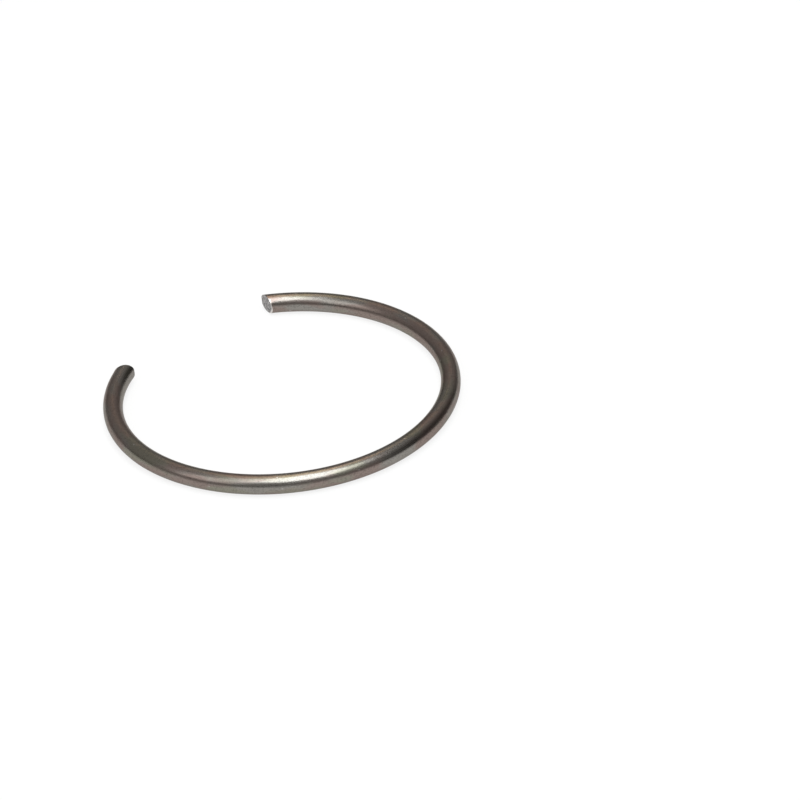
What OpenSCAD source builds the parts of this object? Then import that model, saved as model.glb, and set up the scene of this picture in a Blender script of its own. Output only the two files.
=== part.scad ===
// Round-wire retaining ring: one length of spring wire, bent to an open ring
// and cropped at both ends. The ring lies in the XY plane with its centre at
// the origin, its axis along +Z and the middle of its gap on +Y.

/* [Wire] */
// Diameter of the round wire
wire_d = 1.2; // [0.8:0.05:1.8]

/* [Ring] */
// Outside diameter of the free ring
ring_od = 21.8; // [17:0.1:32]
// Angle left open between the middles of the two cuts
gap_angle = 65.4; // [30:0.1:110]

/* [Tail] */
// Angle of the last stretch of wire, which is bent tighter than the rest
tail_angle = 75; // [20:1:120]
// How much smaller the tail's bend radius is than the ring's
tail_tighter = 0.25; // [0.05:0.01:0.6]

/* [Crop] */
// How far each cut leans out of square with the wire
crop_slant = 27; // [5:1:40]
// Radius that the blade rolls over at the sharp corner of a cut
crop_roll = 0.07; // [0.04:0.01:0.2]

/* [Hidden] */
$fn = 128;

wire_r = wire_d / 2;
bend_r = (ring_od - wire_d) / 2;
tail_bend_r = bend_r - tail_tighter;
main_angle = 360 - gap_angle - tail_angle;

// Wire bent past the middle of each cut, for the crop to take off
spare = wire_r * (1 + tan(crop_slant));

// The roll breaks through the wire's surface at this angle, and its arc runs
// on until half of that is left
roll_break_a = 30;
break_turn = 90 + crop_slant - roll_break_a;
leave_turn = break_turn + roll_break_a / 2;

// The angle that a length of wire takes up on a bend
function bend_angle(length, radius) = length / radius * 180 / PI;

// Wire bent to a radius about the origin, from one angle to a greater one
module bent_wire(radius, from, to) {
    rotate_extrude(angle = to - from, start = from)
        translate([radius, 0])
            circle(d = wire_d);
}

// Plan of the metal that one crop takes off. The wire comes in along +X and
// the cut crosses its middle at the origin, with the long corner towards -Y.
module crop_plan() {
    reach = 2 * spare;
    long_corner = wire_r / cos(crop_slant);
    roll_start = long_corner
        - crop_roll * (sin(break_turn) + (1 - cos(break_turn)) * tan(crop_slant));
    centre = [-crop_roll, -roll_start];
    leave = centre + crop_roll * [cos(leave_turn), -sin(leave_turn)];
    away = leave - reach * [sin(leave_turn), cos(leave_turn)];
    rotate(crop_slant)
        difference() {
            polygon([
                [0, reach], [0, -roll_start], centre, leave, away,
                [away[0], -reach], [reach, -reach], [reach, reach]
            ]);
            translate(centre)
                circle(r = crop_roll);
        }
}

// A crop set at an angle on a bend. Outward is 1 where the wire leaves its
// end anticlockwise, and -1 where it leaves clockwise.
module crop(radius, angle, outward) {
    rotate(angle)
        translate([radius, 0])
            rotate(90 * outward)
                linear_extrude(height = 2 * wire_d, center = true)
                    crop_plan();
}

// The main bend runs anticlockwise from +X
module main_bend() {
    difference() {
        bent_wire(bend_r, 0, main_angle + bend_angle(spare, bend_r));
        crop(bend_r, main_angle, 1);
    }
}

// The tail runs clockwise from +X, at a tangent to the main bend
module tail_bend() {
    translate([tail_tighter, 0])
        difference() {
            bent_wire(tail_bend_r, -tail_angle - bend_angle(spare, tail_bend_r), 0);
            crop(tail_bend_r, -tail_angle, -1);
        }
}

module ring() {
    color([0.33, 0.31, 0.29])
        rotate(90 + gap_angle / 2 + tail_angle) {
            main_bend();
            tail_bend();
        }
}

ring();
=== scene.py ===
import math
import bmesh
import bpy
from mathutils import Euler, Matrix, Vector, noise


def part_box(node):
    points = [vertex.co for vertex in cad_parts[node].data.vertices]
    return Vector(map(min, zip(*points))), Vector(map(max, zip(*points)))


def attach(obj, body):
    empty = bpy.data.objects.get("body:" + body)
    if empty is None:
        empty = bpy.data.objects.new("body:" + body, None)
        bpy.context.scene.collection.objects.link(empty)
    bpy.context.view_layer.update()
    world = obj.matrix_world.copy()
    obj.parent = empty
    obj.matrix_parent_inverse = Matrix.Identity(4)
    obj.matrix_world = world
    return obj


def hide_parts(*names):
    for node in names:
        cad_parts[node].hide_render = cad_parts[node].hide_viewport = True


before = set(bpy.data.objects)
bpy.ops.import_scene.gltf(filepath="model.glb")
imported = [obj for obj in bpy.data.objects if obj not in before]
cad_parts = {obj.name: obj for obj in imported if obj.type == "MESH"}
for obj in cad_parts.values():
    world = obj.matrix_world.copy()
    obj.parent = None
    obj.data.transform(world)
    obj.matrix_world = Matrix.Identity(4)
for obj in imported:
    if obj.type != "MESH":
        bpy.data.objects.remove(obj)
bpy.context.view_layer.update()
mm = 0.001

# the wire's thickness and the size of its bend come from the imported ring
low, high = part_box("ring")
wireRadius = (high.z - low.z) / 2
bendRadius = -low.y - wireRadius

ring = {
    "gapAngle": 65.4,              # between the middles of the two cuts
    "tailAngle": 75,               # the last stretch is bent tighter
    "tailTighter": 0.25 * mm,
    "sectionPoints": 72,
    "stepsPerDegree": 1,
    "spare": 6,                    # degrees of wire bent past each cut, for the crop to take off
    "skin": 0.001 * mm,            # keeps the facets inside the CAD ring
    "tolerance": 0.001 * mm,       # for picking the points of a section
    "smoothAngle": 35,
}
ring["cutAngle"] = 90 - ring["gapAngle"] / 2
ring["jointAngle"] = 90 + ring["gapAngle"] / 2 + ring["tailAngle"]

# ranges across the cut are in wire radii from its middle
crop = {
    "slant": 27,                   # degrees out of square with the wire, seen from above
    "mainLean": 2,                 # degrees by which the top of the wire is left longer
    "tailLean": 10,
    "roll": 0.07 * mm,             # radius at the long corner
    "rollBreak": 30,               # the roll leaves the wire's surface at this angle
    "rollFacets": 8,
    "reach": 1.6 * mm,             # how much of the wire's end the cutting works on
    "weld": 0.004 * mm,
    "planeTolerance": 1e-7,        # metres
    "sortAcross": (1, 0.618, 0.271),  # a direction in which hardly any points lie level
    "facing": 0.98,                # how near a face of the cut points to the cut's own direction
    "rings": (0.97, 0.93, 0.86, 0.78, 0.69, 0.6, 0.51, 0.42, 0.33, 0.24, 0.15),
    "rimHeight": 0.012 * mm,       # the rim is that far behind the face
    "rimRange": (0.995, 0.97),
    "reliefDepth": 0.022 * mm,
    "reliefSize": 0.13 * mm,
    "reliefRange": (0.97, 0.8),
    "coarse": 0.65,                # shares of the coarse and the fine relief
    "fine": 0.35,
    "fineness": 2.7,
    "fineOffset": Vector((5, 5, 5)),
    "burrHeight": 0.055 * mm,
    "burrShort": (0.25, 0.85),     # towards the short corner
    "burrOut": (0.88, 0.955),
    "burrMean": 0.75,              # share of its height where the ragged edge is even
    "burrRagged": 0.5,
    "burrFineness": 0.8,
    "bareShort": (0.25, 0.6),      # where the blade left the steel bare
    "bareOut": (0.8, 0.9),
}


def polar(radius, degrees):
    a = math.radians(degrees)
    return Vector((radius * math.cos(a), radius * math.sin(a), 0))


# both bends as centre and radius
mainBend = {"centre": Vector((0, 0, 0)), "radius": bendRadius}
tailBend = {
    "centre": polar(ring["tailTighter"], ring["jointAngle"]),
    "radius": bendRadius - ring["tailTighter"],
}


def editMesh():
    return bmesh.from_edit_mesh(bpy.context.object.data)


def selectOnly(kind, test):
    # picks verts or faces in edit mode by their place
    bpy.ops.mesh.select_all(action="DESELECT")
    mesh = editMesh()
    for item in getattr(mesh, kind):
        if test(item):
            item.select_set(True)
    mesh.select_flush(True)
    bmesh.update_edit_mesh(bpy.context.object.data)


def spinWire(degrees, centre):
    # with no window, spin's positive angle turns clockwise
    bpy.ops.mesh.spin(
        steps=round(abs(degrees) * ring["stepsPerDegree"]),
        angle=-math.radians(degrees),
        center=centre,
        axis=(0, 0, 1),
    )


def bendWire():
    # a circle where the two bends meet is spun both ways
    bpy.ops.object.select_all(action="DESELECT")
    joint = ring["jointAngle"]
    bpy.ops.mesh.primitive_circle_add(
        vertices=ring["sectionPoints"],
        radius=wireRadius - ring["skin"],
        location=polar(bendRadius, joint),
        rotation=(math.radians(90), 0, math.radians(joint)),
    )
    wire = bpy.context.object
    wire.name = "spring_wire"
    wire.data.name = "spring_wire"
    bpy.ops.object.transform_apply(location=True, rotation=True, scale=True)
    bpy.ops.object.mode_set(mode="EDIT")
    bpy.ops.mesh.select_all(action="SELECT")
    spinWire(360 - joint + ring["cutAngle"] + ring["spare"], mainBend["centre"])
    bpy.context.tool_settings.mesh_select_mode = (True, False, False)
    selectOnly("verts", onSection(joint))
    spinWire(-ring["tailAngle"] - ring["spare"], tailBend["centre"])
    bpy.ops.object.mode_set(mode="OBJECT")
    return wire


def onSection(angle):
    # the wire's points that lie square across it at an angle
    radial = polar(1, angle)
    along = polar(1, angle + 90)
    return lambda v: abs(v.co.dot(along)) < ring["tolerance"] and v.co.dot(radial) > 0


def inReach(place):
    return lambda v: (v.co - place).length < crop["reach"]


def bisectEnd(place, point, normal):
    # takes off what lies past a plane, at one end only, and closes the wire there
    selectOnly("verts", inReach(place))
    bpy.ops.mesh.bisect(
        plane_co=point,
        plane_no=normal,
        use_fill=True,
        clear_outer=True,
        threshold=crop["planeTolerance"],
    )


def sortByPlace():
    # points, edges and faces in the order of their places, so that each run welds the same points
    mesh = editMesh()
    across = Vector(crop["sortAcross"])
    mesh.verts.sort(key=lambda v: v.co.dot(across))
    mesh.edges.sort(key=lambda e: (e.verts[0].co + e.verts[1].co).dot(across))
    mesh.faces.sort(key=lambda f: f.calc_center_median().dot(across))
    for items in (mesh.verts, mesh.edges, mesh.faces):
        items.index_update()
    bmesh.update_edit_mesh(bpy.context.object.data)


def cropEnd(wire, bend, angle, leave, lean):
    # leave is the direction in which the wire runs out of this end
    place = bend["centre"] + polar(bend["radius"], angle)
    cut = leave + crop["slant"]
    slant = math.radians(crop["slant"])
    turnOut = math.radians(90 + crop["slant"] - crop["rollBreak"])
    rollStart = (wireRadius - ring["skin"]) / math.cos(slant)
    rollStart -= crop["roll"] * (math.sin(turnOut) + (1 - math.cos(turnOut)) * math.tan(slant))
    rollCentre = polar(rollStart, cut - 90) - polar(crop["roll"], cut)
    turn = Matrix.Rotation(math.radians(lean), 3, polar(1, cut + 90))
    normal = turn @ polar(1, cut)
    bpy.ops.object.mode_set(mode="EDIT")
    bisectEnd(place, place - normal * crop["rimHeight"], normal)
    step = math.degrees(turnOut) / crop["rollFacets"]
    for k in range(crop["rollFacets"]):
        facing = polar(1, cut - (k + 1) * step)
        bisectEnd(place, place + turn @ (rollCentre + facing * crop["roll"]), turn @ facing)
    sortByPlace()
    selectOnly("verts", inReach(place))
    bpy.ops.mesh.remove_doubles(threshold=crop["weld"])
    ringCut(place, normal)
    shapeCut(wire, place, polar(1, leave), normal, polar(1, cut + 90))
    bpy.ops.object.mode_set(mode="OBJECT")


def ringCut(place, normal):
    # gives the cut its own finish, and rings of points for its shape
    def facesOut(face):
        return abs(face.normal.dot(normal)) > crop["facing"]

    def isCut(face):
        return facesOut(face) and (face.calc_center_median() - place).length < wireRadius / 2

    selectOnly("faces", isCut)
    middle = place - normal * crop["rimHeight"]
    sizeBefore = 1
    for size in crop["rings"]:
        bpy.ops.mesh.extrude_region()
        bpy.ops.transform.resize(value=(size / sizeBefore,) * 3, center_override=middle)
        sizeBefore = size
    bpy.ops.mesh.merge(type="COLLAPSE")
    for face in editMesh().faces:
        away = face.calc_center_median() - middle
        onPlane = abs(away.dot(normal)) < crop["weld"]
        if facesOut(face) and onPlane and away.length < 2 * wireRadius:
            face.material_index = 1


def smoothStep(lowest, highest, value):
    x = min(max((value - lowest) / (highest - lowest), 0), 1)
    return x * x * (3 - 2 * x)


def shapeCut(wire, place, axis, normal, toShort):
    # a torn face inside a rounded rim, with a burr standing up at the short corner
    mesh = editMesh()
    layers = mesh.verts.layers.float
    bare = layers.get("bareSteel") or layers.new("bareSteel")
    for point in mesh.verts:
        offset = point.co - place
        onCut = any(face.material_index == 1 for face in point.link_faces)
        if offset.length > crop["reach"] or not onCut:
            continue
        out = (offset - axis * offset.dot(axis)).length / wireRadius
        short = offset.dot(toShort) / wireRadius
        spot = offset / crop["reliefSize"]
        torn = crop["coarse"] * noise.noise(spot)
        torn += crop["fine"] * noise.noise(spot * crop["fineness"] + crop["fineOffset"])
        depth = crop["reliefDepth"] * smoothStep(*crop["reliefRange"], out) * (0.5 - torn)
        ragged = crop["burrMean"] + crop["burrRagged"] * noise.noise(spot * crop["burrFineness"])
        atCorner = smoothStep(*crop["burrShort"], short) * smoothStep(*crop["burrOut"], out)
        burr = crop["burrHeight"] * atCorner * ragged
        point.co += normal * (crop["rimHeight"] * smoothStep(*crop["rimRange"], out) - depth + burr)
        point[bare] = smoothStep(*crop["bareShort"], short) * smoothStep(*crop["bareOut"], out)
    bmesh.update_edit_mesh(wire.data)


def degreesPast(joint, offset):
    return (math.degrees(math.atan2(offset.y, offset.x)) - joint) % 360


def markWirePlaces(wire):
    # each point's place on the straightened wire: length along it, then out and up from its middle
    joint = ring["jointAngle"]
    values = []
    for point in wire.data.vertices:
        onTail = degreesPast(joint, point.co) > 360 - ring["tailAngle"] - ring["spare"]
        bend = tailBend if onTail else mainBend
        offset = point.co - bend["centre"]
        past = degreesPast(joint, offset)
        if onTail and past > 180:
            past -= 360            # the tail runs back from the joint
        values += [bend["radius"] * math.radians(past), offset.xy.length - bend["radius"], offset.z]
    places = wire.data.attributes.new("wirePlace", "FLOAT_VECTOR", "POINT")
    places.data.foreach_set("vector", values)


def makeRing():
    wire = bendWire()
    print("wire bent:", len(wire.data.vertices), "points")
    wire.data.materials.append(drawnSteel())
    wire.data.materials.append(croppedSteel())
    cropEnd(wire, mainBend, ring["cutAngle"], ring["cutAngle"] + 90, crop["mainLean"])
    tailEnd = ring["jointAngle"] - ring["tailAngle"]
    cropEnd(wire, tailBend, tailEnd, tailEnd - 90, crop["tailLean"])
    bpy.ops.object.mode_set(mode="EDIT")
    bpy.ops.mesh.select_all(action="SELECT")
    bpy.ops.mesh.normals_make_consistent(inside=False)
    bpy.ops.object.mode_set(mode="OBJECT")
    bpy.ops.object.shade_smooth_by_angle(angle=math.radians(ring["smoothAngle"]))
    markWirePlaces(wire)
    print("ends cropped:", len(wire.data.vertices), "points")
    return wire


class Socket:
    # a node's output, with the maths that the finishes use

    def __init__(self, tree, out=None):
        self.tree = tree
        self.out = out

    def node(self, kind, settings=None, values=None, output=0):
        made = self.tree.nodes.new(kind)
        for name, value in (settings or {}).items():
            setattr(made, name, value)
        for name, value in (values or {}).items():
            if isinstance(value, Socket):
                self.tree.links.new(value.out, made.inputs[name])
            else:
                made.inputs[name].default_value = value
        return Socket(self.tree, made.outputs[output])

    def maths(self, operation, *values):
        return self.node("ShaderNodeMath", {"operation": operation}, dict(enumerate(values)))

    def __add__(self, other):
        return self.maths("ADD", self, other)

    def __radd__(self, other):
        return self.maths("ADD", other, self)

    def __sub__(self, other):
        return self.maths("SUBTRACT", self, other)

    def __rsub__(self, other):
        return self.maths("SUBTRACT", other, self)

    def __mul__(self, other):
        return self.maths("MULTIPLY", self, other)

    def __rmul__(self, other):
        return self.maths("MULTIPLY", other, self)

    def limited(self, lowest, highest):
        # 0 at lowest, 1 at highest, smooth between
        return self.node(
            "ShaderNodeMapRange",
            {"interpolation_type": "SMOOTHSTEP"},
            {0: self, 1: lowest, 2: highest},
        )

    def blended(self, mask, other):
        # this colour where the mask is 0, the other where it is 1
        values = {0: mask, 6: self, 7: (*other, 1)}
        return self.node("ShaderNodeMix", {"data_type": "RGBA"}, values, 2)


def newMaterial(name):
    material = bpy.data.materials.new(name)
    material.use_nodes = True
    tree = material.node_tree
    tree.nodes.clear()
    return material, Socket(tree)


def finishMaterial(tree, shader):
    end = tree.tree.nodes.new("ShaderNodeOutputMaterial")
    tree.tree.links.new(shader.out, end.inputs["Surface"])


def plainColour(tree, colour):
    made = tree.node("ShaderNodeRGB")
    made.out.default_value = (*colour, 1)
    return made


def scaled(tree, vector, along, across):
    # places in units of a pattern's own length and width
    return tree.node(
        "ShaderNodeVectorMath",
        {"operation": "MULTIPLY"},
        {0: vector, 1: (1 / along, 1 / across, 1 / across)},
    )


def noiseOf(tree, vector, detail, offset=0):
    moved = tree.node("ShaderNodeVectorMath", {"operation": "ADD"}, {0: vector, 1: (offset,) * 3})
    return tree.node("ShaderNodeTexNoise", None, {"Vector": moved, "Scale": 1, "Detail": detail})


def bumpOf(tree, height):
    return tree.node("ShaderNodeBump", None, {"Height": height, "Distance": 1e-6, "Strength": 1})


# depths are in micrometres, offsets move one noise away from the others
steel = {
    "grey": (0.27, 0.254, 0.234),
    "brown": (0.258, 0.207, 0.186),
    "olive": (0.25, 0.238, 0.196),
    "worn": (0.48, 0.47, 0.45),
    "rim": (0.54, 0.505, 0.48),    # burnished where the blade left the short corner
    "rimRange": (0.3, 0.75),
    "grazing": (0.65, 0.63, 0.61),  # an oxide film dulls it at a low angle
    "roughness": 0.3,
    "lineLength": 5 * mm,          # draw lines left by the die
    "lineWidth": 0.045 * mm,
    "lineDepth": 3.5,
    "lineRoughness": 0.12,
    "waveLength": 1.1 * mm,
    "waveDepth": 12,
    "waveOffset": 7,
    "grainSize": 0.07 * mm,
    "grainDepth": 0.6,
    "grainRoughness": 0.1,
    "grainOffset": 3,
    "speckRange": (0.42, 0.75),    # dark specks in the grain
    "speckStrength": 0.35,
    "tintLength": 2.6 * mm,        # patches of tempering colour
    "tintWidth": 0.9 * mm,
    "brownOffset": 965,
    "brownRange": (0.38, 0.58),
    "brownRoughness": 0.05,
    "oliveOffset": 720,
    "oliveRange": (0.5, 0.68),
    "nickSpacing": 0.55 * mm,
    "nickRange": (0.03, 0.09),
    "nickWear": 0.8,
    "nickDepth": 5,
}


def drawnSteel():
    material, tree = newMaterial("drawn_spring_steel")
    place = tree.node("ShaderNodeAttribute", {"attribute_name": "wirePlace"}, None, 1)
    linePlace = scaled(tree, place, steel["lineLength"], steel["lineWidth"])
    lines = noiseOf(tree, linePlace, 3)
    wavePlace = scaled(tree, place, steel["waveLength"], steel["waveLength"])
    waves = noiseOf(tree, wavePlace, 1, steel["waveOffset"])
    grainPlace = scaled(tree, place, steel["grainSize"], steel["grainSize"])
    grain = noiseOf(tree, grainPlace, 2, steel["grainOffset"])
    tintPlace = scaled(tree, place, steel["tintLength"], steel["tintWidth"])
    brown = noiseOf(tree, tintPlace, 2, steel["brownOffset"]).limited(*steel["brownRange"])
    olive = noiseOf(tree, tintPlace, 2, steel["oliveOffset"]).limited(*steel["oliveRange"])
    nickPlace = scaled(tree, place, steel["nickSpacing"] * 2, steel["nickSpacing"])
    spots = tree.node("ShaderNodeTexVoronoi", None, {"Vector": nickPlace, "Scale": 1})
    nicks = 1 - spots.limited(*steel["nickRange"])
    bare = tree.node("ShaderNodeAttribute", {"attribute_name": "bareSteel"}, None, 2)

    colour = plainColour(tree, steel["grey"])
    colour = colour.blended(brown, steel["brown"]).blended(olive, steel["olive"])
    colour = colour.blended(grain.limited(*steel["speckRange"]) * steel["speckStrength"], (0, 0, 0))
    colour = colour.blended(nicks * steel["nickWear"], steel["worn"])
    colour = colour.blended(bare.limited(*steel["rimRange"]), steel["rim"])
    rough = steel["roughness"] + (lines - 0.5) * steel["lineRoughness"]
    rough = rough + (brown - 0.5) * steel["brownRoughness"]
    rough = rough + (grain - 0.5) * steel["grainRoughness"]
    height = lines * steel["lineDepth"] + waves * steel["waveDepth"]
    height = height + grain * steel["grainDepth"] - nicks * steel["nickDepth"]
    shader = tree.node(
        "ShaderNodeBsdfPrincipled",
        None,
        {
            "Base Color": colour,
            "Metallic": 1,
            "Roughness": rough,
            "Specular Tint": (*steel["grazing"], 1),
            "Normal": bumpOf(tree, height),
        },
    )
    finishMaterial(tree, shader)
    return material


cutFace = {
    "grey": (0.415, 0.4, 0.395),
    "dark": (0.075, 0.073, 0.071),
    "bare": (0.74, 0.7, 0.67),     # bright where the blade burnished the short corner
    "roughness": 0.48,
    "bareRoughness": 0.25,
    "grainSize": 0.11 * mm,
    "grainDepth": 14,
    "pitRange": (0.4, 0.65),
    "pitStrength": 0.8,
    "patchSize": 0.25 * mm,
    "patchRoughness": 0.3,
    "patchOffset": 5,
}


def croppedSteel():
    material, tree = newMaterial("cropped_spring_steel")
    place = tree.node("ShaderNodeTexCoord", None, None, 3)
    bare = tree.node("ShaderNodeAttribute", {"attribute_name": "bareSteel"}, None, 2)
    grain = noiseOf(tree, scaled(tree, place, cutFace["grainSize"], cutFace["grainSize"]), 4)
    patchPlace = scaled(tree, place, cutFace["patchSize"], cutFace["patchSize"])
    patches = noiseOf(tree, patchPlace, 2, cutFace["patchOffset"])
    pits = grain.limited(*cutFace["pitRange"]) * cutFace["pitStrength"]
    pitted = plainColour(tree, cutFace["grey"]).blended(pits, cutFace["dark"])
    torn = cutFace["roughness"] + (patches - 0.5) * cutFace["patchRoughness"]
    height = grain * (1 - bare) * cutFace["grainDepth"]
    shader = tree.node(
        "ShaderNodeBsdfPrincipled",
        None,
        {
            "Base Color": pitted.blended(bare, cutFace["bare"]),
            "Metallic": 1,
            "Roughness": torn + bare * (cutFace["bareRoughness"] - torn),
            "Normal": bumpOf(tree, height),
        },
    )
    finishMaterial(tree, shader)
    return material


studio = {
    "floorSize": 3,
    "floorColour": (0.92, 0.917, 0.914),
    "floorWhiteness": 0.82,        # how far it is carried to white, for the camera and in the steel
    "roomGrey": (0.352, 0.34, 0.334),
    "roomLow": (0.11, 0.104, 0.098),  # near the horizon
    "lowRange": (0, 0.4),          # from the horizon, where straight up is 1
    "roomDark": (0.05, 0.047, 0.044),
    "darkSide": (0.95, 0.2, 0.25),  # the room is darker that way
    "darkRange": (0.66, 0.95),     # cosines of the angles from there
}
# softboxes as placed from behind the camera: to its right, away from it, up
softboxes = {
    "overhead": {
        "place": (0.06, -0.202, 0.5),
        "shape": "ELLIPSE",
        "size": (0.4, 0.615),
        "turn": 7,                 # level, turned by that much in plan
        "power": 2.8,
        "colour": (0.94, 0.985, 1),
    },
    "warm": {
        "place": (0.01, 0.235, 0.5),
        "shape": "RECTANGLE",
        "size": (0.13, 0.47),
        "turn": 0,
        "power": 0.41,
        "colour": (1, 0.79, 0.55),
    },
    "fill": {
        "place": (-0.35, -0.255, 0.42),
        "shape": "RECTANGLE",
        "size": (0.34, 0.42),
        "turn": None,              # aimed at the ring
        "power": 0.63,
        "colour": (1, 1, 1),
    },
}


def floorFinish():
    material, tree = newMaterial("pale_floor")
    toCamera = tree.node("ShaderNodeLightPath")
    rays = toCamera.out.node.outputs
    glossy = Socket(tree.tree, rays["Is Glossy Ray"])
    through = Socket(tree.tree, rays["Is Transmission Ray"])
    seen = toCamera + glossy + through
    seen = seen.maths("MINIMUM", seen, 1)
    paint = tree.node("ShaderNodeBsdfDiffuse", None, {"Color": (*studio["floorColour"], 1)})
    white = tree.node("ShaderNodeEmission", None, {"Color": (1, 1, 1, 1), "Strength": 1})
    values = {0: seen * studio["floorWhiteness"], 1: paint, 2: white}
    finishMaterial(tree, tree.node("ShaderNodeMixShader", None, values))
    return material


def makeStudio():
    bpy.ops.object.select_all(action="DESELECT")
    bpy.ops.mesh.primitive_plane_add(size=studio["floorSize"], location=(0, 0, low.z))
    floor = bpy.context.object
    floor.name = "floor"
    bpy.ops.object.transform_apply(location=True, rotation=True, scale=True)
    floor.data.materials.append(floorFinish())
    turn = Matrix.Rotation(math.radians(camera["heading"]), 3, "Z")
    for name, softbox in softboxes.items():
        place = turn @ Vector(softbox["place"])
        if softbox["turn"] is None:
            aim = place.to_track_quat("Z", "Y").to_euler()
        else:
            aim = (0, 0, math.radians(camera["heading"] + softbox["turn"]))
        bpy.ops.object.light_add(type="AREA", location=place, rotation=aim)
        light = bpy.context.object
        light.name = name
        light.data.shape = softbox["shape"]
        light.data.color = softbox["colour"]
        light.data.size, light.data.size_y = softbox["size"]
        light.data.energy = softbox["power"]
    bpy.context.scene.world = makeRoom(turn @ Vector(studio["darkSide"]).normalized())
    print("studio set:", len(softboxes), "softboxes")


def makeRoom(darkSide):
    world = bpy.data.worlds.new("studio")
    world.use_nodes = True
    world.node_tree.nodes.clear()
    tree = Socket(world.node_tree)
    way = tree.node("ShaderNodeTexCoord", None, None, 0)
    toDark = {0: way, 1: darkSide}
    facing = tree.node("ShaderNodeVectorMath", {"operation": "DOT_PRODUCT"}, toDark, 1)
    height = tree.node("ShaderNodeSeparateXYZ", None, {0: way}, 2)
    colour = plainColour(tree, studio["roomGrey"])
    colour = colour.blended(1 - height.limited(*studio["lowRange"]), studio["roomLow"])
    colour = colour.blended(facing.limited(*studio["darkRange"]), studio["roomDark"])
    light = tree.node("ShaderNodeBackground", None, {"Color": colour, "Strength": 1})
    end = world.node_tree.nodes.new("ShaderNodeOutputWorld")
    world.node_tree.links.new(light.out, end.inputs["Surface"])
    return world


camera = {
    "lens": 225,
    "heading": -36.2,              # degrees, where it looks in plan
    "tilt": 57.8,                  # degrees up from straight down
    "roll": -4.86,
    "offset": (7.201 * mm, -0.575 * mm, 302.504 * mm),  # from the ring's centre, along its own axes
}


def makeCamera():
    turn = Euler((math.radians(camera["tilt"]), 0, math.radians(camera["heading"]))).to_matrix()
    turn = turn @ Matrix.Rotation(math.radians(camera["roll"]), 3, "Z")
    bpy.ops.object.camera_add(location=turn @ Vector(camera["offset"]), rotation=turn.to_euler())
    view = bpy.context.object
    view.data.lens = camera["lens"]
    bpy.context.scene.camera = view


makeCamera()
wire = makeRing()
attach(wire, "root")
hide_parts("ring")
makeStudio()
bpy.context.scene.view_settings.view_transform = "Standard"
